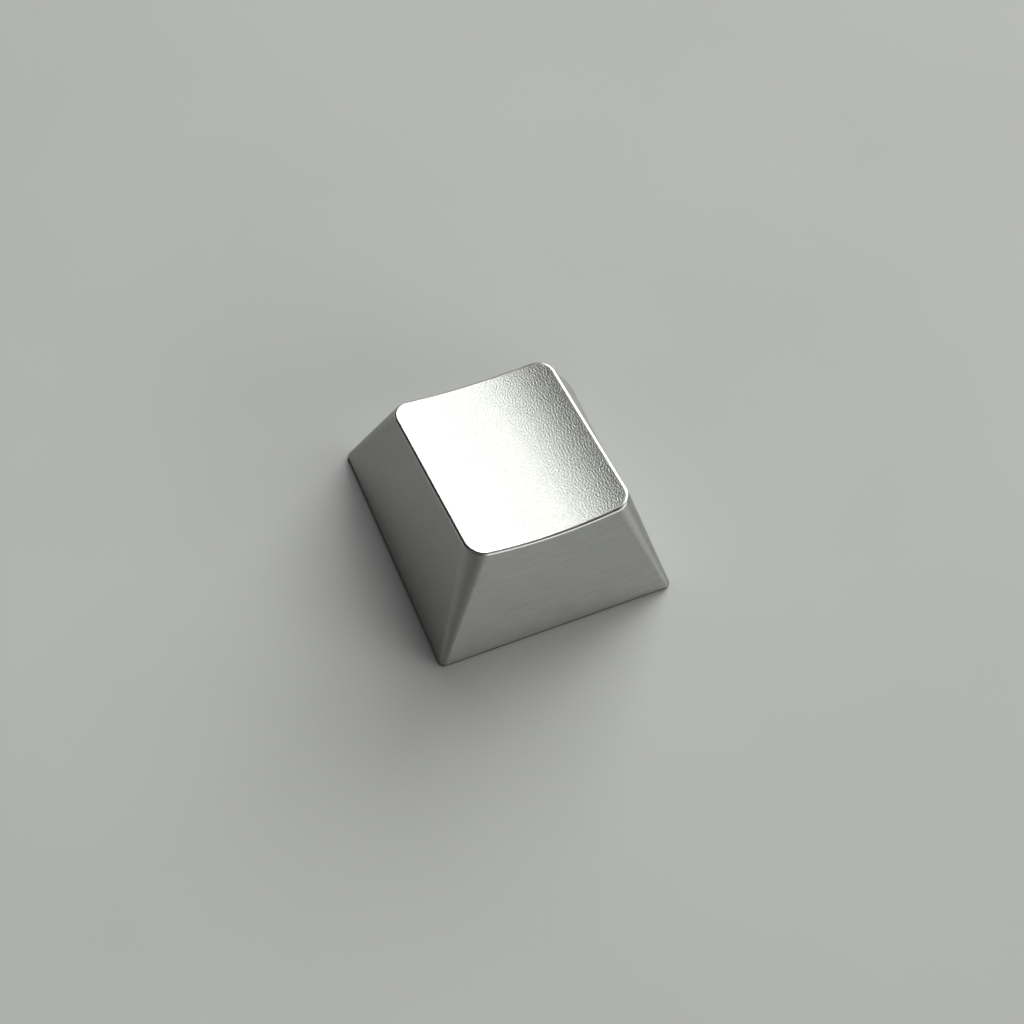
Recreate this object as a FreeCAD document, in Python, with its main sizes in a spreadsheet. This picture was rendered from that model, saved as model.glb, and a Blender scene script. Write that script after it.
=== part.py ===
import FreeCAD, Part
import math
import os
import Sketcher

# Metal keycap for one standard key, milled and blasted from a single piece of light metal.
# Frame: millimetres, X to the right, Y to the back, Z up, the middle of the bottom rim at the origin.
# The side next to the typist is -Y. The top slopes down to the back, and is hollowed across its width.

SIZES = {
    # Outer shell: a square foot on the keyboard side and a smaller, tilted top
    "foot_width": 18.1,
    "foot_depth": 18.1,
    "foot_corner": 0.45,
    "top_width": 12.3,
    "top_depth": 14.5,
    "top_corner": 1.45,
    "top_height": 7.27,
    "top_setback": 1.7,
    "top_tilt": 11.7,
    # Finger dish: a cylinder along the slope, deepest on the middle line, running out past the top's sides
    "dish_depth": 0.57,
    "dish_runout": 0.1,
    # Edges: the polished round on the rim of the dish, and the small break round the foot
    "rim_round": 0.2,
    "foot_break": 0.12,
    # Hollow underside
    "wall": 1.25,
    "roof": 1.3,
    "hollow_corner": 0.7,
    # Stem boss with the cross socket for the key switch. Its wall stands outside the arms of the cross
    "boss_wall": 0.7,
    "boss_recess": 0.8,
    "boss_break": 0.25,
    "socket_span": 4.1,
    "socket_arm_across": 1.3,
    "socket_arm_along": 1.2,
    "socket_depth": 3.8,
    "socket_lead": 0.2,
}

ROLE_XY = "XY_Plane"
ROLE_XZ = "XZ_Plane"
# The four corners of an outline in turn, from the front right, as signs of X and Y
CORNERS = ((1, -1), (1, 1), (-1, 1), (-1, -1))

doc = FreeCAD.newDocument("Keycap")
sheet = doc.addObject("Spreadsheet::Sheet", "Sizes")
for row, (alias, value) in enumerate(SIZES.items(), start=1):
    sheet.set(f"A{row}", alias)
    sheet.set(f"B{row}", str(value))
    sheet.setAlias(f"B{row}", alias)
doc.recompute()

body = doc.addObject("PartDesign::Body", "Keycap")
body.Label = "keycap"


def new_sketch(name, role, height="0", along="0", tilt="0"):
    """A sketch on an origin plane of the body: lifted, moved back along Y, and tilted down at the back."""
    sketch = body.newObject("Sketcher::SketchObject", name)
    plane = next(feature for feature in body.Origin.OriginFeatures if feature.Role == role)
    sketch.AttachmentSupport = [(plane, "")]
    sketch.MapMode = "FlatFace"
    sketch.AttachmentOffset = FreeCAD.Placement(
        FreeCAD.Vector(0, 0, 0), FreeCAD.Rotation(FreeCAD.Vector(1, 0, 0), -1)
    )
    lift, back = ("z", "y") if role == ROLE_XY else ("y", "z")
    towards_back = along if role == ROLE_XY else f"-({along})"
    sketch.setExpression(f"AttachmentOffset.Base.{lift}", f"({height}) * 1 mm")
    sketch.setExpression(f"AttachmentOffset.Base.{back}", f"({towards_back}) * 1 mm")
    sketch.setExpression("AttachmentOffset.Rotation.Angle", f"-({tilt}) * 1 deg")
    return sketch


def bind(sketch, constraint, name, expression):
    """Adds a dimension to the sketch, named, and ties it to the sheet."""
    index = sketch.addConstraint(constraint)
    sketch.renameConstraint(index, name)
    sketch.setExpression(f"Constraints.{name}", f"({expression}) * 1 mm")


def rounded_rectangle(sketch, width, depth, corner):
    """A rectangle with four equal round corners, centred on the sketch's origin. Sizes are expressions."""
    w, d, r = (float(sketch.evalExpression(size)) for size in (width, depth, corner))
    quarter_turn = math.pi / 2
    up = FreeCAD.Vector(0, 0, 1)
    lines, arcs = [], []
    for turn, (right, back) in enumerate(CORNERS):
        centre = FreeCAD.Vector(right * (w / 2 - r), back * (d / 2 - r), 0)
        full_turn = Part.Circle(centre, up, r)
        start = (turn - 1) * quarter_turn
        arcs.append(sketch.addGeometry(Part.ArcOfCircle(full_turn, start, start + quarter_turn)))
    for turn in range(4):
        tail = sketch.getPoint(arcs[turn], 2)
        head = sketch.getPoint(arcs[(turn + 1) % 4], 1)
        lines.append(sketch.addGeometry(Part.LineSegment(tail, head)))
    for turn in range(4):
        following = arcs[(turn + 1) % 4]
        sketch.addConstraint(Sketcher.Constraint("Tangent", arcs[turn], 2, lines[turn], 1))
        sketch.addConstraint(Sketcher.Constraint("Tangent", lines[turn], 2, following, 1))
        direction = "Vertical" if turn % 2 == 0 else "Horizontal"
        sketch.addConstraint(Sketcher.Constraint(direction, lines[turn]))
    for arc in arcs[1:]:
        sketch.addConstraint(Sketcher.Constraint("Equal", arcs[0], arc))
    sketch.addConstraint(Sketcher.Constraint("Symmetric", arcs[0], 3, arcs[2], 3, -1, 1))
    bind(sketch, Sketcher.Constraint("Radius", arcs[0], r), "corner", corner)
    bind(sketch, Sketcher.Constraint("DistanceX", lines[2], 1, lines[0], 1, w), "width", width)
    bind(sketch, Sketcher.Constraint("DistanceY", lines[3], 1, lines[1], 1, d), "depth", depth)


def rectangle(sketch, width, depth):
    """A rectangle with sharp corners, centred on the sketch's origin. The sizes are expressions."""
    w, d = (float(sketch.evalExpression(size)) for size in (width, depth))
    corners = [FreeCAD.Vector(right * w / 2, back * d / 2, 0) for right, back in CORNERS]
    sides = []
    for turn in range(4):
        sides.append(sketch.addGeometry(Part.LineSegment(corners[turn], corners[(turn + 1) % 4])))
    for turn, side in enumerate(sides):
        sketch.addConstraint(Sketcher.Constraint("Coincident", side, 2, sides[(turn + 1) % 4], 1))
        direction = "Vertical" if turn % 2 == 0 else "Horizontal"
        sketch.addConstraint(Sketcher.Constraint(direction, side))
    sketch.addConstraint(Sketcher.Constraint("Symmetric", sides[0], 1, sides[2], 1, -1, 1))
    bind(sketch, Sketcher.Constraint("DistanceX", sides[2], 1, sides[0], 1, w), "width", width)
    bind(sketch, Sketcher.Constraint("DistanceY", sides[0], 1, sides[0], 2, d), "depth", depth)


def circle(sketch, diameter, height="0"):
    """A circle centred on the sketch's upright middle line, at the given height. Sizes are expressions."""
    radius = float(sketch.evalExpression(diameter)) / 2
    centre = FreeCAD.Vector(0, float(sketch.evalExpression(height)), 0)
    ring = sketch.addGeometry(Part.Circle(centre, FreeCAD.Vector(0, 0, 1), radius))
    sketch.addConstraint(Sketcher.Constraint("PointOnObject", ring, 3, -2))
    bind(sketch, Sketcher.Constraint("Diameter", ring, 2 * radius), "diameter", diameter)
    if centre.y:
        bind(sketch, Sketcher.Constraint("DistanceY", -1, 1, ring, 3, centre.y), "height", height)
    else:
        sketch.addConstraint(Sketcher.Constraint("PointOnObject", ring, 3, -1))


def ruled_form(kind, name, lower, upper):
    """A form of straight rulings from one sketch to the other, added to the body or cut from it."""
    form = body.newObject(f"PartDesign::{kind}Loft", name)
    form.Profile = lower
    form.Sections = [upper]
    form.Ruled = True
    doc.recompute()
    return form


def edge_names(feature, wanted):
    """The names of the feature's edges that pass the test, as dressing features take them."""
    doc.recompute()
    edges = feature.Shape.Edges
    return [f"Edge{number}" for number, edge in enumerate(edges, start=1) if wanted(edge)]


def cuts(feature):
    """Checks that a cutting feature has taken metal away from what was there before it."""
    doc.recompute()
    if not feature.Shape.Volume < feature.BaseFeature.Shape.Volume:
        raise RuntimeError(f"{feature.Name} cuts nothing")


# Outer shell: straight rulings from the square foot to the smaller tilted top, so each corner opens from
# the tight foot radius to the wide top radius. A narrow break runs round the foot's own edge
foot = new_sketch("FootOutline", ROLE_XY, "Sizes.foot_break")
rounded_rectangle(foot, "Sizes.foot_width", "Sizes.foot_depth", "Sizes.foot_corner")
top = new_sketch("TopOutline", ROLE_XY, "Sizes.top_height", "Sizes.top_setback", "Sizes.top_tilt")
rounded_rectangle(top, "Sizes.top_width", "Sizes.top_depth", "Sizes.top_corner")
ruled_form("Additive", "Shell", foot, top)
sole = new_sketch("SoleOutline", ROLE_XY)
rounded_rectangle(
    sole,
    "Sizes.foot_width - 2 * Sizes.foot_break",
    "Sizes.foot_depth - 2 * Sizes.foot_break",
    "Sizes.foot_corner - Sizes.foot_break",
)
ruled_form("Additive", "FootEdge", sole, foot)

# Finger dish: a cylinder lying along the sloping top. Its arc meets the plane of the top just outside the
# top's sides, so no flat is left beside it
DISH_CHORD = "(Sizes.top_width + 2 * Sizes.dish_runout)"
DISH_RADIUS = f"({DISH_CHORD}^2 / (8 * Sizes.dish_depth) + Sizes.dish_depth / 2)"
dish_section = new_sketch("DishSection", ROLE_XZ, "Sizes.top_height", "Sizes.top_setback", "Sizes.top_tilt")
circle(dish_section, f"2 * {DISH_RADIUS}", f"{DISH_RADIUS} - Sizes.dish_depth")
dish = body.newObject("PartDesign::Pocket", "Dish")
dish.Profile = dish_section
dish.Type = "ThroughAll"
dish.SideType = "Symmetric"
cuts(dish)

# Hollow underside: a second ruled form inside the first, one wall in from the foot and one roof below the
# dish. The share of the rulings' length at its ceiling gives the shell's width there
CEILING = "(Sizes.top_height - Sizes.dish_depth - Sizes.roof)"
SHARE = f"({CEILING} / Sizes.top_height)"
MOUTH_WIDTH = "(Sizes.foot_width - 2 * Sizes.wall)"
MOUTH_DEPTH = "(Sizes.foot_depth - 2 * Sizes.wall)"
mouth = new_sketch("HollowMouth", ROLE_XY)
rounded_rectangle(mouth, MOUTH_WIDTH, MOUTH_DEPTH, "Sizes.hollow_corner")
ceiling = new_sketch("HollowCeiling", ROLE_XY, CEILING, f"{SHARE} * Sizes.top_setback", "Sizes.top_tilt")
rounded_rectangle(
    ceiling,
    f"{MOUTH_WIDTH} + {SHARE} * (Sizes.top_width - Sizes.foot_width)",
    f"{MOUTH_DEPTH} + {SHARE} * (Sizes.top_depth - Sizes.foot_depth)",
    "Sizes.hollow_corner",
)
cuts(ruled_form("Subtractive", "Hollow", mouth, ceiling))

# Stem boss: a round post from the ceiling down to a little above the foot, on the middle of the key
BOSS_DIAMETER = "(Sizes.socket_span + 2 * Sizes.boss_wall)"
boss_end = new_sketch("BossEnd", ROLE_XY, "Sizes.boss_recess")
circle(boss_end, BOSS_DIAMETER)
boss = body.newObject("PartDesign::Pad", "StemBoss")
boss.Profile = boss_end
boss.Type = "UpToFirst"
doc.recompute()

# Cross socket: two crossing slots from the end of the boss, which press on the cross of the key switch
slots = {
    "SocketAcross": ("Sizes.socket_span", "Sizes.socket_arm_across"),
    "SocketAlong": ("Sizes.socket_arm_along", "Sizes.socket_span"),
}
for name, (width, depth) in slots.items():
    slot_outline = new_sketch(f"{name}Outline", ROLE_XY, "Sizes.boss_recess")
    rectangle(slot_outline, width, depth)
    slot = body.newObject("PartDesign::Pocket", name)
    slot.Profile = slot_outline
    slot.Reversed = True
    slot.setExpression("Length", "Sizes.socket_depth * 1 mm")
    cuts(slot)

# Polished round along the whole rim of the dish
DISH_FACE_RADIUS = float(sheet.evalExpression(DISH_RADIUS))
TOLERANCE = 1e-4


def dish_edges(feature):
    """The edges round the dish: those of the one face with the dish's radius."""
    doc.recompute()
    surfaces = [face for face in feature.Shape.Faces if isinstance(face.Surface, Part.Cylinder)]
    dish_face = next(face for face in surfaces if abs(face.Surface.Radius - DISH_FACE_RADIUS) < TOLERANCE)
    return edge_names(feature, lambda edge: any(edge.isSame(other) for other in dish_face.Edges))


rim = body.newObject("PartDesign::Fillet", "RimRound")
rim.Base = (slot, dish_edges(slot))
rim.setExpression("Radius", "Sizes.rim_round * 1 mm")


# Lead-in round the mouth of the cross, and a break round the end of the boss
boss_level = float(sheet.get("boss_recess"))
boss_radius = float(sheet.evalExpression(BOSS_DIAMETER)) / 2


def at_boss_end(edge):
    """True for an edge that lies flat at the end of the boss."""
    low, high = edge.BoundBox.ZMin, edge.BoundBox.ZMax
    return max(abs(low - boss_level), abs(high - boss_level)) < TOLERANCE


def is_round(edge):
    """True for an edge on the boss's own circle."""
    return isinstance(edge.Curve, Part.Circle) and abs(edge.Curve.Radius - boss_radius) < TOLERANCE


lead = body.newObject("PartDesign::Chamfer", "SocketLead")
lead.Base = (rim, edge_names(rim, lambda edge: at_boss_end(edge) and not is_round(edge)))
lead.setExpression("Size", "Sizes.socket_lead * 1 mm")
boss_break = body.newObject("PartDesign::Chamfer", "BossBreak")
boss_break.Base = (lead, edge_names(lead, lambda edge: at_boss_end(edge) and is_round(edge)))
boss_break.setExpression("Size", "Sizes.boss_break * 1 mm")
body.Tip = boss_break
doc.recompute()

# Nothing is written unless every object has worked out and the keycap is one sound solid
failed = [item.Name for item in doc.Objects if "Invalid" in item.State or "Error" in item.State]
if failed:
    raise RuntimeError(f"These failed: {failed}")
if body.Shape.isNull() or not body.Shape.isValid() or len(body.Shape.Solids) != 1:
    raise RuntimeError("The keycap is not one sound solid")
os.makedirs("parts", exist_ok=True)
body.Shape.exportStep(f"parts/{body.Label}.step")
box = body.Shape.BoundBox
print(f"{body.Label}: {box.XLength:.2f} x {box.YLength:.2f} x {box.ZLength:.2f} mm")
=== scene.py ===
"""Looks of the metal keycap: one piece of light metal on a pale floor, in metres in the part's own frame.

The keycap is one closed surface. Its points lie on rings that run all the way round: over the rim, down the
sides, round the foot, up the hollow, down the stem boss and into the cross socket. A grid fills the dish.
"""
import math

import bpy
import numpy as np
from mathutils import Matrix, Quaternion, Vector


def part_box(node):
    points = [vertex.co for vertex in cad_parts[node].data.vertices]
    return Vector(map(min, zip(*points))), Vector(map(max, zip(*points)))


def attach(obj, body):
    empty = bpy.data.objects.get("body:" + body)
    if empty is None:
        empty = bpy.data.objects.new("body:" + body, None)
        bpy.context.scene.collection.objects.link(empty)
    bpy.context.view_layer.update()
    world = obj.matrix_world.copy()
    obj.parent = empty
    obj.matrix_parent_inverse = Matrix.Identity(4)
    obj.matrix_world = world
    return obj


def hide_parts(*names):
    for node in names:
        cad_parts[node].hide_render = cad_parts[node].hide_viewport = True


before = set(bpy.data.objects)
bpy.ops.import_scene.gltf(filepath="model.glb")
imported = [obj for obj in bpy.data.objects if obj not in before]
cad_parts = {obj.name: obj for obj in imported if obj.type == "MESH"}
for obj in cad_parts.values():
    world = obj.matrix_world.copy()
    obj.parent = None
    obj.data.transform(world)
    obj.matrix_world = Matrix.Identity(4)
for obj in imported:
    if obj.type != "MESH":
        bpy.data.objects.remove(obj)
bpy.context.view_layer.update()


# Outer shell
# The skirt of the keycap, milled from one block: a square foot and four tapered sides up to a smaller top,
# which tilts down to the back. Each corner opens from a tight radius at the foot to a wide one at the top.
# The sides are finely brushed, level with the foot.
foot_low, foot_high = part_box("keycap")
FOOT_WIDTH = foot_high.x - foot_low.x
FOOT_DEPTH = foot_high.y - foot_low.y
FOOT_CORNER = 0.00045
FOOT_BREAK = 0.00012
FOOT_ROUND = 0.0002
FOOT_RINGS = 6
TOP_WIDTH = 0.0123
TOP_DEPTH = 0.0145
TOP_CORNER = 0.00145
TOP_HEIGHT = 0.00727
TOP_SETBACK = 0.0017
TOP_TILT = math.radians(11.7)
TOP_MIDDLE = np.array([0.0, TOP_SETBACK, TOP_HEIGHT])
ACROSS = np.array([1.0, 0.0, 0.0])
DOWN_SLOPE = np.array([0.0, math.cos(TOP_TILT), -math.sin(TOP_TILT)])
OFF_SLOPE = np.array([0.0, math.sin(TOP_TILT), math.cos(TOP_TILT)])

FRONT_STEPS = 204
SIDE_STEPS = 240
CORNER_STEPS = 20
SIDES = (
    (FRONT_STEPS, (1, 0), (0, -1)),
    (SIDE_STEPS, (0, 1), (1, 0)),
    (FRONT_STEPS, (-1, 0), (0, 1)),
    (SIDE_STEPS, (0, -1), (-1, 0)),
)


def rounded_outline(width, depth, corner):
    """Rounded rectangle, anticlockwise from the middle of its front left corner.

    Each side is an eighth turn of arc, a straight run and an eighth turn of arc. A point lies
    run * (side / 2 - corner) + corner * sin(turn) along its side, and it lies
    reach - corner + corner * cos(turn) out.
    """
    outline = []
    for steps, along, out in SIDES:
        side, reach = (width, depth / 2) if along[0] else (depth, width / 2)
        straight = steps - 2 * CORNER_STEPS
        eighth = np.linspace(0, math.pi / 4, CORNER_STEPS, endpoint=False)
        turn = np.concatenate([eighth - math.pi / 4, np.zeros(straight), eighth])
        ends = np.ones(CORNER_STEPS)
        run = np.concatenate([-ends, np.linspace(-1, 1, straight, endpoint=False), ends])
        moved = run * (side / 2 - corner) + corner * np.sin(turn)
        pushed = reach - corner + corner * np.cos(turn)
        outline.append(np.outer(moved, along) + np.outer(pushed, out))
    return np.concatenate(outline)


def level(outline, height):
    """The outline laid flat at one height."""
    return np.column_stack([outline, np.full(len(outline), height)])


def on_slope(outline, middle):
    """The outline on the plane that tilts down to the back: middle + x * across + y * down the slope."""
    return middle + outline[:, :1] * ACROSS + outline[:, 1:] * DOWN_SLOPE


def between(first, last, shares):
    """Rings between a first and a last ring, one for each share: first + share * (last - first)."""
    shares = np.reshape(shares, (-1, 1, 1))
    return first + shares * (last - first)


def unit(vectors):
    """Each vector divided by its length."""
    return vectors / np.linalg.norm(vectors, axis=-1, keepdims=True)


def rolled_edge(edge, first, second, radius, count):
    """Arc at each point of a closed sharp edge, from its first face to its second, as a number of rings.

    First and second point along the faces, away from the edge. Less their share along the edge they lie at
    an angle phi. The arc's centre is radius / sin(phi / 2) along the line halfway between them, and the arc
    turns pi - phi.
    """
    along = unit(np.roll(edge, -1, axis=0) - np.roll(edge, 1, axis=0))
    first = unit(first - np.sum(first * along, axis=1, keepdims=True) * along)
    second = unit(second - np.sum(second * along, axis=1, keepdims=True) * along)
    angle = np.arccos(np.sum(first * second, axis=1, keepdims=True))
    centre = edge + unit(first + second) * radius / np.sin(angle / 2)
    start = edge + first * radius / np.tan(angle / 2) - centre
    end = edge + second * radius / np.tan(angle / 2) - centre
    turn = math.pi - angle
    share = np.linspace(0, 1, count).reshape(-1, 1, 1)
    return centre + (start * np.sin((1 - share) * turn) + end * np.sin(share * turn)) / np.sin(turn)


SOLE_WIDTH = FOOT_WIDTH - 2 * FOOT_BREAK
SOLE_DEPTH = FOOT_DEPTH - 2 * FOOT_BREAK
sole_ring = level(rounded_outline(SOLE_WIDTH, SOLE_DEPTH, FOOT_CORNER - FOOT_BREAK), 0.0)
foot_ring = level(rounded_outline(FOOT_WIDTH, FOOT_DEPTH, FOOT_CORNER), FOOT_BREAK)
top_ring = on_slope(rounded_outline(TOP_WIDTH, TOP_DEPTH, TOP_CORNER), TOP_MIDDLE)
foot_round = rolled_edge(foot_ring, top_ring - foot_ring, sole_ring - foot_ring, FOOT_ROUND, FOOT_RINGS)


def add_node(tree, kind, **settings):
    """A node of a tree, with its settings by name."""
    node = tree.nodes.new(kind)
    for name, value in settings.items():
        setattr(node, name, value)
    return node


def node_group(name, inputs, outputs):
    """An empty shader node group with number inputs and number outputs by name, and its two end nodes."""
    group = bpy.data.node_groups.new(name, "ShaderNodeTree")
    for label, value in inputs.items():
        socket = group.interface.new_socket(label, in_out="INPUT", socket_type="NodeSocketFloat")
        socket.default_value = value
    for label in outputs:
        group.interface.new_socket(label, in_out="OUTPUT", socket_type="NodeSocketFloat")
    return group, add_node(group, "NodeGroupInput"), add_node(group, "NodeGroupOutput")


def fine_lines_group():
    """Lines level with the foot, as a brush or a cutter leaves them.

    Noise is read at (x / length, y / length, z / spacing), so that it changes fast up the side and slowly
    along it.
    """
    group, given, result = node_group(
        "fine_lines", {"Spacing": 0.0001, "Length": 0.003}, ("Height", "Streak")
    )
    place = add_node(group, "ShaderNodeTexCoord")
    scale = add_node(group, "ShaderNodeCombineXYZ")
    for label, axes in (("Length", ("X", "Y")), ("Spacing", ("Z",))):
        inverse = add_node(group, "ShaderNodeMath", operation="DIVIDE")
        inverse.inputs[0].default_value = 1.0
        group.links.new(given.outputs[label], inverse.inputs[1])
        for axis in axes:
            group.links.new(inverse.outputs[0], scale.inputs[axis])
    stretched = add_node(group, "ShaderNodeVectorMath", operation="MULTIPLY")
    group.links.new(place.outputs["Object"], stretched.inputs[0])
    group.links.new(scale.outputs[0], stretched.inputs[1])
    fine = add_node(group, "ShaderNodeTexNoise")
    fine.inputs["Scale"].default_value = 1.0
    fine.inputs["Detail"].default_value = 3.0
    fine.inputs["Roughness"].default_value = 0.6
    group.links.new(stretched.outputs[0], fine.inputs["Vector"])
    broad = add_node(group, "ShaderNodeTexNoise")
    broad.inputs["Scale"].default_value = 0.55
    broad.inputs["Detail"].default_value = 2.0
    group.links.new(stretched.outputs[0], broad.inputs["Vector"])
    group.links.new(fine.outputs["Fac"], result.inputs["Height"])
    group.links.new(broad.outputs["Fac"], result.inputs["Streak"])
    return group


fine_lines = fine_lines_group()


def place_group(tree, group, **values):
    """The group as a node of a material, with its own values."""
    node = add_node(tree, "ShaderNodeGroup", node_tree=group)
    for label, value in values.items():
        node.inputs[label].default_value = value
    return node


NOISE_LOW = 0.25
NOISE_HIGH = 0.75


def spread(tree, source, low, high):
    """The values of a noise, which lie mostly between its low and high ends, spread from low to high."""
    node = add_node(tree, "ShaderNodeMapRange")
    node.inputs["From Min"].default_value = NOISE_LOW
    node.inputs["From Max"].default_value = NOISE_HIGH
    node.inputs["To Min"].default_value = low
    node.inputs["To Max"].default_value = high
    tree.links.new(source, node.inputs["Value"])
    return node.outputs["Result"]


# Places of the two colours among the inputs of a mix node, and of the mixed colour among its outputs
MIX_DARK = 6
MIX_LIGHT = 7
MIX_RESULT = 2


def tinted(tree, source, dark, light):
    """A colour between a dark and a light tone by a value from 0 to 1."""
    node = add_node(tree, "ShaderNodeMix", data_type="RGBA")
    node.inputs[MIX_DARK].default_value = (*dark, 1.0)
    node.inputs[MIX_LIGHT].default_value = (*light, 1.0)
    tree.links.new(source, node.inputs["Factor"])
    return node.outputs[MIX_RESULT]


def raised(tree, source, depth):
    """The surface's normal with a height map of that depth on it."""
    node = add_node(tree, "ShaderNodeBump")
    node.inputs["Distance"].default_value = depth
    tree.links.new(source, node.inputs["Height"])
    return node.outputs["Normal"]


def metal(name):
    """A bare metal finish: its material, node tree and shader."""
    material = bpy.data.materials.new(name)
    material.use_nodes = True
    shader = material.node_tree.nodes["Principled BSDF"]
    shader.inputs["Metallic"].default_value = 1.0
    return material, material.node_tree, shader


BRUSH_DARK = (0.372, 0.377, 0.362)
BRUSH_LIGHT = (0.438, 0.443, 0.428)
BRUSH_ROUGHNESS = (0.36, 0.42)
BRUSH_SPACING = 0.00008
BRUSH_LENGTH = 0.0008
BRUSH_DEPTH = 0.0000035
BRUSH_STRETCH = 0.4
BRUSH_QUARTER_TURN = 0.25
# Painted shade over the foot: between these heights the colour rises from the shade factor to its full tone.
PAINTED_FOOT_SHADE_LOW = 0.00016
PAINTED_FOOT_SHADE_HIGH = 0.0003
PAINTED_FOOT_SHADE_FACTOR = 0.15


def brushed_sides():
    """Fine level lines that catch the light, in duller and brighter streaks, and a painted dark line over
    the foot.

    Over that line painted shade darkens the colour. The colour is multiplied by a share that rises with
    height, from the shade at its low end to 1 at its high end. The painted shade stands in for the dark
    contact gap under the foot.
    """
    material, tree, shader = metal("brushed_sides")
    lines = place_group(tree, fine_lines, Spacing=BRUSH_SPACING, Length=BRUSH_LENGTH)
    tone = spread(tree, lines.outputs["Streak"], 0.0, 1.0)
    colour = tinted(tree, tone, BRUSH_DARK, BRUSH_LIGHT)
    place = add_node(tree, "ShaderNodeTexCoord")
    axes = add_node(tree, "ShaderNodeSeparateXYZ")
    tree.links.new(place.outputs["Object"], axes.inputs[0])
    # Painted shade: the colour darkens over the lowest part of the side, standing in for the dark contact
    # gap under the foot.
    painted_foot_shade = add_node(tree, "ShaderNodeMapRange")
    painted_foot_shade.inputs["From Min"].default_value = PAINTED_FOOT_SHADE_LOW
    painted_foot_shade.inputs["From Max"].default_value = PAINTED_FOOT_SHADE_HIGH
    painted_foot_shade.inputs["To Min"].default_value = PAINTED_FOOT_SHADE_FACTOR
    tree.links.new(axes.outputs["Z"], painted_foot_shade.inputs["Value"])
    shaded = add_node(tree, "ShaderNodeVectorMath", operation="SCALE")
    tree.links.new(colour, shaded.inputs[0])
    tree.links.new(painted_foot_shade.outputs["Result"], shaded.inputs["Scale"])
    tree.links.new(shaded.outputs[0], shader.inputs["Base Color"])
    tree.links.new(spread(tree, lines.outputs["Streak"], *BRUSH_ROUGHNESS), shader.inputs["Roughness"])
    tree.links.new(raised(tree, lines.outputs["Height"], BRUSH_DEPTH), shader.inputs["Normal"])
    tangent = add_node(tree, "ShaderNodeTangent", direction_type="RADIAL", axis="Z")
    tree.links.new(tangent.outputs["Tangent"], shader.inputs["Tangent"])
    shader.inputs["Anisotropic"].default_value = BRUSH_STRETCH
    shader.inputs["Anisotropic Rotation"].default_value = BRUSH_QUARTER_TURN
    return material


# Finger dish and its rim
# The hollow for the fingertip, a part of a cylinder along the slope. It is blasted to a fine pebbled grain,
# and the edge that it leaves on the sides is rounded and polished bright.
DISH_DEPTH = 0.00057
DISH_RUNOUT = 0.0001
DISH_CHORD = TOP_WIDTH + 2 * DISH_RUNOUT
DISH_RADIUS = DISH_CHORD**2 / (8 * DISH_DEPTH) + DISH_DEPTH / 2
DISH_AXIS = TOP_MIDDLE + (DISH_RADIUS - DISH_DEPTH) * OFF_SLOPE
RIM_ROUND = 0.00024
RIM_RINGS = 8
SKIRT_RINGS = 15
SKIRT_SPACING = 1.6
GRAIN_SIZE = 0.00019
GRAIN_SPREAD = 0.3
GRAIN_HEIGHT = 0.0000027
GRAIN_FADE = 0.0002
GRAIN_SEED = 11
GRAIN_CELLS = 512
GRAIN_PITCH = 0.00004


def dish_cut(top, foot):
    """Where each straight line from the top ring to the foot ring leaves the dish's cylinder.

    In a section across the dish a point of the line is start + t * step from the axis, so the larger root of
    step.step t^2 + 2 start.step t + start.start - radius^2 = 0 gives the cut.
    """
    section = np.column_stack([ACROSS, OFF_SLOPE])
    start = (top - DISH_AXIS) @ section
    step = (foot - top) @ section
    a = np.sum(step * step, axis=1)
    b = 2 * np.sum(start * step, axis=1)
    c = np.sum(start * start, axis=1) - DISH_RADIUS**2
    share = (-b + np.sqrt(b * b - 4 * a * c)) / (2 * a)
    return top + share[:, None] * (foot - top)


def along_dish(edge):
    """The direction inwards along the dish at each point of its sharp edge, square to the edge."""
    along = unit(np.roll(edge, -1, axis=0) - np.roll(edge, 1, axis=0))
    to_axis = DISH_AXIS - edge
    dish_normal = unit(to_axis - (to_axis @ DOWN_SLOPE)[:, None] * DOWN_SLOPE)
    return np.cross(dish_normal, along)


def grain_height(across, back):
    """Height of the pebbled grain: seeded white noise of which only the waves near the grain size are kept.

    The noise is filtered as waves, by a bell over wave number times grain size, and read between its cells
    in proportion to the distance from each.
    """
    noise = np.random.default_rng(GRAIN_SEED).standard_normal((GRAIN_CELLS, GRAIN_CELLS))
    waves = np.fft.fftfreq(GRAIN_CELLS, GRAIN_PITCH)
    number = np.hypot(waves[:, None], waves[None, :]) * GRAIN_SIZE
    bell = np.exp(-0.5 * ((number - 1) / GRAIN_SPREAD) ** 2)
    field = np.fft.ifft2(np.fft.fft2(noise) * bell).real
    field /= field.std()
    u = across / GRAIN_PITCH + GRAIN_CELLS / 2
    v = back / GRAIN_PITCH + GRAIN_CELLS / 2
    i = np.floor(u).astype(int)
    j = np.floor(v).astype(int)
    p = u - i
    q = v - j
    near = field[i, j] * (1 - p) + field[i + 1, j] * p
    far = field[i, j + 1] * (1 - p) + field[i + 1, j + 1] * p
    return GRAIN_HEIGHT * (near * (1 - q) + far * q)


RIGHT_START = FRONT_STEPS
REAR_START = RIGHT_START + SIDE_STEPS
LEFT_START = REAR_START + FRONT_STEPS


def four_sides(ring):
    """The front, right, rear and left side of a closed ring, each from left to right or front to back."""
    closed = np.concatenate([ring, ring[:1]])
    front = closed[: RIGHT_START + 1]
    right = closed[RIGHT_START : REAR_START + 1]
    rear = closed[REAR_START : LEFT_START + 1][::-1]
    left = closed[LEFT_START:][::-1]
    return front, right, rear, left


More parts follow.
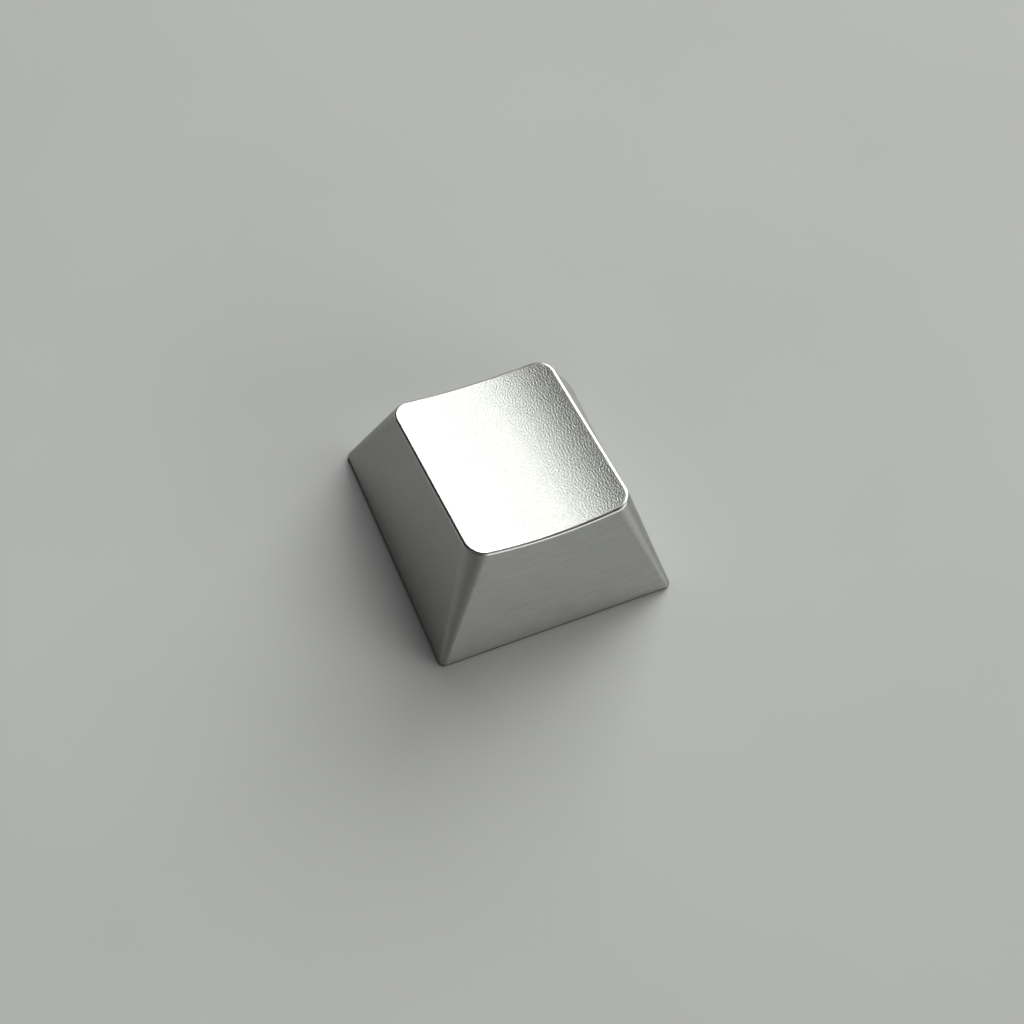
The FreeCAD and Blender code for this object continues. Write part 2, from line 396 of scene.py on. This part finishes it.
def filled_outline(ring):
    """Grid of points inside a closed ring of four sides, rows from front to back.

    Each point is the mean of front and back and the mean of left and right at its shares, added, less the
    mean of the four corners, which both hold.
    """
    front, right, rear, left = four_sides(ring)
    u = np.linspace(0, 1, FRONT_STEPS + 1).reshape(1, -1, 1)
    v = np.linspace(0, 1, SIDE_STEPS + 1).reshape(-1, 1, 1)
    walls = (1 - u) * left[:, None] + u * right[:, None]
    ends = (1 - v) * front[None] + v * rear[None]
    front_corners = (1 - u) * front[0] + u * front[-1]
    rear_corners = (1 - u) * rear[0] + u * rear[-1]
    corners = (1 - v) * front_corners + v * rear_corners
    return walls + ends - corners


def dish_surface(ring):
    """The dish inside its ring: radius - depth - sqrt(radius^2 - across^2) off the slope, with its grain.

    The grain fades out towards the ring, by the distance to the nearest of the four sides.
    """
    flat = np.column_stack([(ring - TOP_MIDDLE) @ ACROSS, (ring - TOP_MIDDLE) @ DOWN_SLOPE])
    grid = filled_outline(flat)
    across = grid[..., 0]
    back = grid[..., 1]
    side_gap = np.abs(across[:, :1]) - np.abs(across)
    end_gap = np.minimum(back - back[:1], back[-1:] - back)
    fade = np.clip(np.minimum(side_gap, end_gap) / GRAIN_FADE, 0, 1)
    lift = DISH_RADIUS - DISH_DEPTH - np.sqrt(DISH_RADIUS**2 - across**2)
    lift += fade * grain_height(across, back)
    on_plane = TOP_MIDDLE + across[..., None] * ACROSS + back[..., None] * DOWN_SLOPE
    return on_plane + lift[..., None] * OFF_SLOPE


sharp_edge = dish_cut(top_ring, foot_ring)
rim = rolled_edge(sharp_edge, along_dish(sharp_edge), foot_ring - sharp_edge, RIM_ROUND, RIM_RINGS)
dish = dish_surface(rim[0])
skirt = between(rim[-1], foot_round[0], np.linspace(0, 1, SKIRT_RINGS) ** SKIRT_SPACING)


def grain_group():
    """Pits and pebbles of a blasted surface, and slow clouds over it. Noise is read at place / size."""
    group, given, result = node_group(
        "blasted_grain", {"Size": 0.00012, "Cloud": 0.004}, ("Height", "Cloud")
    )
    place = add_node(group, "ShaderNodeTexCoord")
    for label, detail, socket in (("Size", 2.0, "Height"), ("Cloud", 3.0, "Cloud")):
        inverse = add_node(group, "ShaderNodeMath", operation="DIVIDE")
        inverse.inputs[0].default_value = 1.0
        group.links.new(given.outputs[label], inverse.inputs[1])
        noise = add_node(group, "ShaderNodeTexNoise")
        noise.inputs["Detail"].default_value = detail
        group.links.new(place.outputs["Object"], noise.inputs["Vector"])
        group.links.new(inverse.outputs[0], noise.inputs["Scale"])
        group.links.new(noise.outputs["Fac"], result.inputs[socket])
    return group


blasted = grain_group()

DISH_DARK = (0.347, 0.359, 0.331)
DISH_LIGHT = (0.426, 0.44, 0.408)
DISH_ROUGHNESS = (0.25, 0.268)
PIT_SIZE = 0.00009
PIT_DEPTH = 0.000008
CLOUD_SIZE = 0.003


def blasted_dish():
    """The grain of the mesh with finer pits on it, and slow clouds where the blast was uneven."""
    material, tree, shader = metal("blasted_dish")
    pits = place_group(tree, blasted, Size=PIT_SIZE, Cloud=CLOUD_SIZE)
    tone = spread(tree, pits.outputs["Height"], 0.0, 1.0)
    tree.links.new(tinted(tree, tone, DISH_DARK, DISH_LIGHT), shader.inputs["Base Color"])
    tree.links.new(spread(tree, pits.outputs["Cloud"], *DISH_ROUGHNESS), shader.inputs["Roughness"])
    tree.links.new(raised(tree, pits.outputs["Height"], PIT_DEPTH), shader.inputs["Normal"])
    return material


RIM_DARK = (0.535, 0.545, 0.522)
RIM_LIGHT = (0.595, 0.605, 0.581)
RIM_ROUGHNESS = (0.24, 0.30)
POLISH_SPACING = 0.00005
POLISH_LENGTH = 0.002


def polished_rim():
    """Bright metal with faint polishing lines along the edge."""
    material, tree, shader = metal("polished_rim")
    lines = place_group(tree, fine_lines, Spacing=POLISH_SPACING, Length=POLISH_LENGTH)
    tone = spread(tree, lines.outputs["Streak"], 0.0, 1.0)
    tree.links.new(tinted(tree, tone, RIM_DARK, RIM_LIGHT), shader.inputs["Base Color"])
    tree.links.new(spread(tree, lines.outputs["Streak"], *RIM_ROUGHNESS), shader.inputs["Roughness"])
    return material


# Hollow
# The space under the cap, milled out from below. Its walls follow the taper of the sides and its ceiling
# follows the slope of the top, so that walls and roof have an even thickness. The cutter's marks stay on it.
WALL = 0.00125
ROOF = 0.0013
HOLLOW_CORNER = 0.0007
CEILING_HEIGHT = TOP_HEIGHT - DISH_DEPTH - ROOF
CEILING_SHARE = CEILING_HEIGHT / TOP_HEIGHT
CEILING_MIDDLE = np.array([0.0, CEILING_SHARE * TOP_SETBACK, CEILING_HEIGHT])
MOUTH_WIDTH = FOOT_WIDTH - 2 * WALL
MOUTH_DEPTH = FOOT_DEPTH - 2 * WALL
CEILING_WIDTH = MOUTH_WIDTH + CEILING_SHARE * (TOP_WIDTH - FOOT_WIDTH)
CEILING_DEPTH = MOUTH_DEPTH + CEILING_SHARE * (TOP_DEPTH - FOOT_DEPTH)

mouth_ring = level(rounded_outline(MOUTH_WIDTH, MOUTH_DEPTH, HOLLOW_CORNER), 0.0)
ceiling_ring = on_slope(rounded_outline(CEILING_WIDTH, CEILING_DEPTH, HOLLOW_CORNER), CEILING_MIDDLE)

INSIDE_DARK = (0.64, 0.64, 0.63)
INSIDE_LIGHT = (0.72, 0.72, 0.71)
INSIDE_ROUGHNESS = (0.36, 0.46)
INSIDE_PIT_SIZE = 0.0001
CUTTER_SPACING = 0.00016
CUTTER_LENGTH = 0.006
CUTTER_DEPTH = 0.000005


def milled_inside():
    """Satin metal with the cutter's level marks and a fine grain over them."""
    material, tree, shader = metal("milled_inside")
    lines = place_group(tree, fine_lines, Spacing=CUTTER_SPACING, Length=CUTTER_LENGTH)
    pits = place_group(tree, blasted, Size=INSIDE_PIT_SIZE, Cloud=CLOUD_SIZE)
    tone = spread(tree, pits.outputs["Cloud"], 0.0, 1.0)
    tree.links.new(tinted(tree, tone, INSIDE_DARK, INSIDE_LIGHT), shader.inputs["Base Color"])
    tree.links.new(spread(tree, pits.outputs["Height"], *INSIDE_ROUGHNESS), shader.inputs["Roughness"])
    tree.links.new(raised(tree, lines.outputs["Height"], CUTTER_DEPTH), shader.inputs["Normal"])
    return material


# Stem boss and cross socket
# The round post in the middle of the hollow, left standing when the rest is milled away. The cross cut in
# its end presses on the cross-shaped stem of a key switch, and a bevel round the cross leads the stem in.
BOSS_WALL = 0.0007
BOSS_RECESS = 0.0008
BOSS_BREAK = 0.00025
SOCKET_SPAN = 0.0041
SOCKET_ARM_ACROSS = 0.0013
SOCKET_ARM_ALONG = 0.0012
SOCKET_DEPTH = 0.0038
SOCKET_LEAD = 0.0002
BOSS_RADIUS = SOCKET_SPAN / 2 + BOSS_WALL
ARM_STEPS = 60


def round_outline(radius):
    """Circle with the same points to each quarter as a rounded rectangle has to each side.

    The quarters are 90 degrees each, and the first has its middle at the front, at -90 degrees.
    """
    quarters = [
        np.linspace(-45, 45, steps, endpoint=False) - 90 + 90 * number
        for number, (steps, along, out) in enumerate(SIDES)
    ]
    angle = np.radians(np.concatenate(quarters))
    return radius * np.column_stack([np.cos(angle), np.sin(angle)])


def cross_outline(grown):
    """The cross, grown outwards all round, with the same points to each arm as a rectangle has to each side.

    Each arm goes out from one inner corner of the cross, over its end and back to the next inner corner.
    """
    outline = []
    for steps, along, out in SIDES:
        lengthwise = along[0] != 0
        half_arm = (SOCKET_ARM_ALONG if lengthwise else SOCKET_ARM_ACROSS) / 2 + grown
        inner = (SOCKET_ARM_ACROSS if lengthwise else SOCKET_ARM_ALONG) / 2 + grown
        reach = SOCKET_SPAN / 2 + grown
        side = np.ones(ARM_STEPS)
        over = np.linspace(-1, 1, steps - 2 * ARM_STEPS, endpoint=False)
        rise = np.linspace(0, 1, ARM_STEPS, endpoint=False)
        moved = half_arm * np.concatenate([-side, over, side])
        pushed = inner + (reach - inner) * np.concatenate([rise, np.ones(len(over)), 1 - rise])
        outline.append(np.outer(moved, along) + np.outer(pushed, out))
    return np.concatenate(outline)


def dropped_from_ceiling(outline):
    """The outline carried straight up to the sloping ceiling: height - (y - middle) * tan(tilt)."""
    height = CEILING_HEIGHT - (outline[:, 1] - CEILING_MIDDLE[1]) * math.tan(TOP_TILT)
    return np.column_stack([outline, height])


boss_outline = round_outline(BOSS_RADIUS)
boss_root_ring = dropped_from_ceiling(boss_outline)
boss_shoulder_ring = level(boss_outline, BOSS_RECESS + BOSS_BREAK)
boss_end_ring = level(round_outline(BOSS_RADIUS - BOSS_BREAK), BOSS_RECESS)
lead_ring = level(cross_outline(SOCKET_LEAD), BOSS_RECESS)
socket_ring = level(cross_outline(0.0), BOSS_RECESS + SOCKET_LEAD)
socket_floor_ring = level(cross_outline(0.0), BOSS_RECESS + SOCKET_DEPTH)
socket_middle = np.array([0.0, 0.0, BOSS_RECESS + SOCKET_DEPTH])


# The keycap as one piece
# Nothing is joined on the real keycap, so all the rings lie in one mesh. The rings run from the dish
# outwards, down and up into the hollow, and each stretch of rings takes the finish of its part of the metal.
BAND_RINGS = 4
FINISHES = [blasted_dish(), polished_rim(), brushed_sides(), milled_inside()]
DISH_FINISH, RIM_FINISH, SIDE_FINISH, INSIDE_FINISH = range(len(FINISHES))
SHARP_CREASE = math.radians(32)

even = np.linspace(0, 1, BAND_RINGS)
stretches = [
    (rim, RIM_FINISH),
    (skirt, SIDE_FINISH),
    (foot_round, SIDE_FINISH),
    (between(foot_round[-1], sole_ring, [0, 1]), SIDE_FINISH),
    (between(sole_ring, mouth_ring, even), INSIDE_FINISH),
    (between(mouth_ring, ceiling_ring, even), INSIDE_FINISH),
    (between(ceiling_ring, boss_root_ring, even), INSIDE_FINISH),
    (between(boss_root_ring, boss_shoulder_ring, even), INSIDE_FINISH),
    (between(boss_shoulder_ring, boss_end_ring, [0, 1]), INSIDE_FINISH),
    (between(boss_end_ring, lead_ring, even), INSIDE_FINISH),
    (between(lead_ring, socket_ring, [0, 1]), INSIDE_FINISH),
    (between(socket_ring, socket_floor_ring, even), INSIDE_FINISH),
    (between(socket_floor_ring, socket_middle, even[:-1]), INSIDE_FINISH),
]
rings = np.concatenate([stretches[0][0][:1]] + [band[1:] for band, _ in stretches])
ring_finish = np.concatenate([np.full(len(band) - 1, finish) for band, finish in stretches])
ring_count, around = rings.shape[:2]


def quads_between(numbers, closed):
    """The four point numbers of each cell of a grid of point numbers, in order round the cell."""
    if closed:
        numbers = np.concatenate([numbers, numbers[:, :1]], axis=1)
    corners = [numbers[:-1, :-1], numbers[1:, :-1], numbers[1:, 1:], numbers[:-1, 1:]]
    return np.stack(corners, axis=-1).reshape(-1, 4)


ring_numbers = np.arange(ring_count * around).reshape(ring_count, around)
pole_number = ring_numbers.size
ring_quads = quads_between(ring_numbers, closed=True)
last_ring = ring_numbers[-1]
pole_faces = np.column_stack([last_ring, np.full(around, pole_number), np.roll(last_ring, -1)])

# The dish's outer points are those of the first ring, and its inner points follow the pole.
dish_inside = dish[1:-1, 1:-1]
inside_rows, inside_columns = dish_inside.shape[:2]
dish_numbers = np.zeros(dish.shape[:2], int)
inside_numbers = pole_number + 1 + np.arange(inside_rows * inside_columns)
dish_numbers[1:-1, 1:-1] = inside_numbers.reshape(inside_rows, inside_columns)
dish_numbers[0], dish_numbers[:, -1], dish_numbers[-1], dish_numbers[:, 0] = four_sides(ring_numbers[0])
dish_quads = quads_between(dish_numbers, closed=False)[:, ::-1]

points = np.concatenate([rings.reshape(-1, 3), socket_middle[None], dish_inside.reshape(-1, 3)])
faces = dish_quads.tolist() + ring_quads.tolist() + pole_faces.tolist()
keycap_mesh = bpy.data.meshes.new("keycap_body")
keycap_mesh.from_pydata(points.tolist(), [], faces)
finish_of_face = np.concatenate(
    [
        np.full(len(dish_quads), DISH_FINISH),
        np.repeat(ring_finish, around),
        np.full(len(pole_faces), INSIDE_FINISH),
    ]
)
for finish in FINISHES:
    keycap_mesh.materials.append(finish)
keycap_mesh.polygons.foreach_set("material_index", finish_of_face.astype(np.int32))
keycap_mesh.shade_smooth()
keycap_mesh.set_sharp_from_angle(angle=SHARP_CREASE)
keycap_mesh.update()

keycap = bpy.data.objects.new("keycap_body", keycap_mesh)
bpy.context.scene.collection.objects.link(keycap)
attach(keycap, "root")
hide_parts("keycap")


# Floor
# A plain pale table top, on which the keycap stands by its foot. It is smooth and nearly matt, and its tone
# varies a little in broad, soft clouds.
FLOOR_HALF = 9.0
FLOOR_DARK = (0.57, 0.584, 0.564)
FLOOR_LIGHT = (0.608, 0.622, 0.602)
FLOOR_ROUGHNESS = 0.6
FLOOR_SHINE = 0.2
FLOOR_CLOUD = 0.03

floor_mesh = bpy.data.meshes.new("floor")
floor_corners = [(x * FLOOR_HALF, y * FLOOR_HALF, 0.0) for x, y in ((-1, -1), (1, -1), (1, 1), (-1, 1))]
floor_mesh.from_pydata(floor_corners, [], [(0, 1, 2, 3)])
floor_material = bpy.data.materials.new("pale_floor")
floor_material.use_nodes = True
floor_tree = floor_material.node_tree
floor_shader = floor_tree.nodes["Principled BSDF"]
floor_shader.inputs["Roughness"].default_value = FLOOR_ROUGHNESS
floor_shader.inputs["Specular IOR Level"].default_value = FLOOR_SHINE
floor_clouds = place_group(floor_tree, blasted, Cloud=FLOOR_CLOUD)
floor_tone = spread(floor_tree, floor_clouds.outputs["Cloud"], 0.0, 1.0)
floor_colour = tinted(floor_tree, floor_tone, FLOOR_DARK, FLOOR_LIGHT)
floor_tree.links.new(floor_colour, floor_shader.inputs["Base Color"])
floor_mesh.materials.append(floor_material)
floor = bpy.data.objects.new("floor", floor_mesh)
bpy.context.scene.collection.objects.link(floor)


# Light
# A plain large room by day. Behind the keycap on its right is a wide low window, taller in one part, between
# pale walls, and in front of the keycap on its right is another pale wall. The other walls, the slopes under
# the ceiling and the ceiling are dim, and the rest is nearly dark.
LAMP_DISTANCE = 8.0
WINDOW_LIGHT = 7.8
ROOM_LIGHT = 0.01


def soft_panel(name, right, left, low, high, light):
    """A rectangular lamp of even light that faces the keycap, between azimuths and elevations in degrees.

    Azimuth turns from +X towards +Y and elevation rises from the floor. The panel's half width and half
    height are the distance times the tangent of half its angles, the width times the cosine of its elevation
    too. Its power is pi * area * light.
    """
    turn = math.radians(left + right) / 2
    rise = math.radians(low + high) / 2
    towards = Vector((math.cos(turn) * math.cos(rise), math.sin(turn) * math.cos(rise), math.sin(rise)))
    lamp = bpy.data.lights.new(name, "AREA")
    lamp.shape = "RECTANGLE"
    lamp.size = 2 * LAMP_DISTANCE * math.tan(math.radians(left - right) / 2) * math.cos(rise)
    lamp.size_y = 2 * LAMP_DISTANCE * math.tan(math.radians(high - low) / 2)
    lamp.energy = math.pi * lamp.size * lamp.size_y * light
    holder = bpy.data.objects.new(name, lamp)
    holder.location = LAMP_DISTANCE * towards
    holder.rotation_euler = towards.to_track_quat("Z", "Y").to_euler()
    bpy.context.scene.collection.objects.link(holder)


soft_panel("window", right=20, left=64, low=6, high=30, light=WINDOW_LIGHT)
soft_panel("window_top", right=40, left=56, low=30, high=58, light=WINDOW_LIGHT)
soft_panel("wall_right_of_window", right=-25, left=40, low=30, high=58, light=1.65)
soft_panel("wall_left_of_window", right=64, left=76, low=28, high=52, light=4.1)
soft_panel("near_front_wall", right=-50, left=-25, low=3, high=24, light=3.3)
soft_panel("front_wall", right=-80, left=-50, low=3, high=24, light=2.3)
soft_panel("front_slope", right=-100, left=-40, low=24, high=46, light=0.55)
soft_panel("front_left_slope", right=-180, left=-100, low=28, high=58, light=0.16)
soft_panel("ceiling", right=-50, left=30, low=60, high=80, light=0.2)
soft_panel("back_wall", right=76, left=96, low=20, high=60, light=0.14)
soft_panel("back_left_wall", right=100, left=140, low=2, high=16, light=0.3)
soft_panel("left_wall", right=150, left=215, low=10, high=45, light=0.05)

room = bpy.data.worlds.new("room")
room.use_nodes = True
room_shader = room.node_tree.nodes["Background"]
room_shader.inputs["Color"].default_value = (ROOM_LIGHT, ROOM_LIGHT, ROOM_LIGHT, 1.0)
bpy.context.scene.world = room


# Camera
# It stands above the front left of the keycap, with a lens a little longer than normal, and is turned a
# little about its own line of sight.
CAMERA_AIM = Vector((-0.00070, -0.00120, 0.0040))
CAMERA_TOWARDS = Vector((-0.28157, -0.37773, 0.88207)).normalized()
CAMERA_DISTANCE = 0.14292
CAMERA_ROLL = math.radians(14.84)
CAMERA_SENSOR = 36.0
CAMERA_LENS = 71.28
CAMERA_NEAR = 0.01

camera_data = bpy.data.cameras.new("camera")
camera_data.sensor_width = CAMERA_SENSOR
camera_data.lens = CAMERA_LENS
camera_data.clip_start = CAMERA_NEAR
camera = bpy.data.objects.new("camera", camera_data)
camera.location = CAMERA_AIM + CAMERA_DISTANCE * CAMERA_TOWARDS
camera.rotation_mode = "QUATERNION"
camera_roll = Quaternion((0, 0, 1), CAMERA_ROLL)
camera.rotation_quaternion = CAMERA_TOWARDS.to_track_quat("Z", "Y") @ camera_roll
bpy.context.scene.collection.objects.link(camera)
bpy.context.scene.camera = camera
bpy.context.scene.view_settings.view_transform = "Standard"
